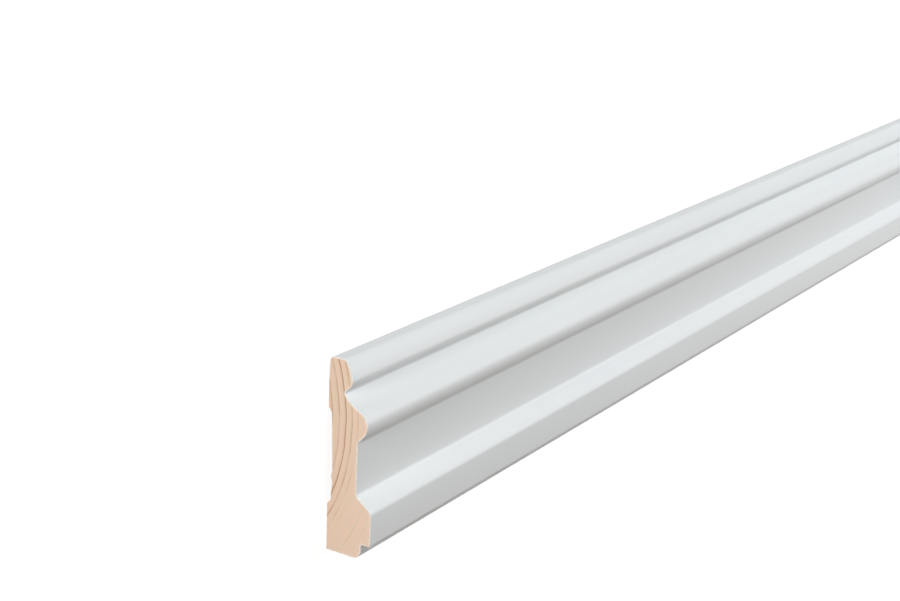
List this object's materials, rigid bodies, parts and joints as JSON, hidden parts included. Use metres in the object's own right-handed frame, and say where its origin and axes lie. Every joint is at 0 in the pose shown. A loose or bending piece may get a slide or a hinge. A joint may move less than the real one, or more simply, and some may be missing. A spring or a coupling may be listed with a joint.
{
  "type": "architrave",
  "caption": "Length of painted softwood architrave with a moulded face: rebated thick edge, bevel, flat fascia, ogee, quirk and bead, a relieved back and square-sawn ends.",
  "frame": {"origin": "under the middle of the piece, on the plane of its two back bearings", "axes": "+X along the length, +Y across the face from the thick edge to the thin edge, +Z out of the moulded face"},
  "size_m": [2.2, 0.069, 0.018],
  "materials": {
    "painted_pine": "satin white paint on the moulded face and both edges, bare pine on the sawn ends and the back"
  },
  "bodies": {
    "root": {"architrave": "painted_pine"}
  },
  "joints": []
}
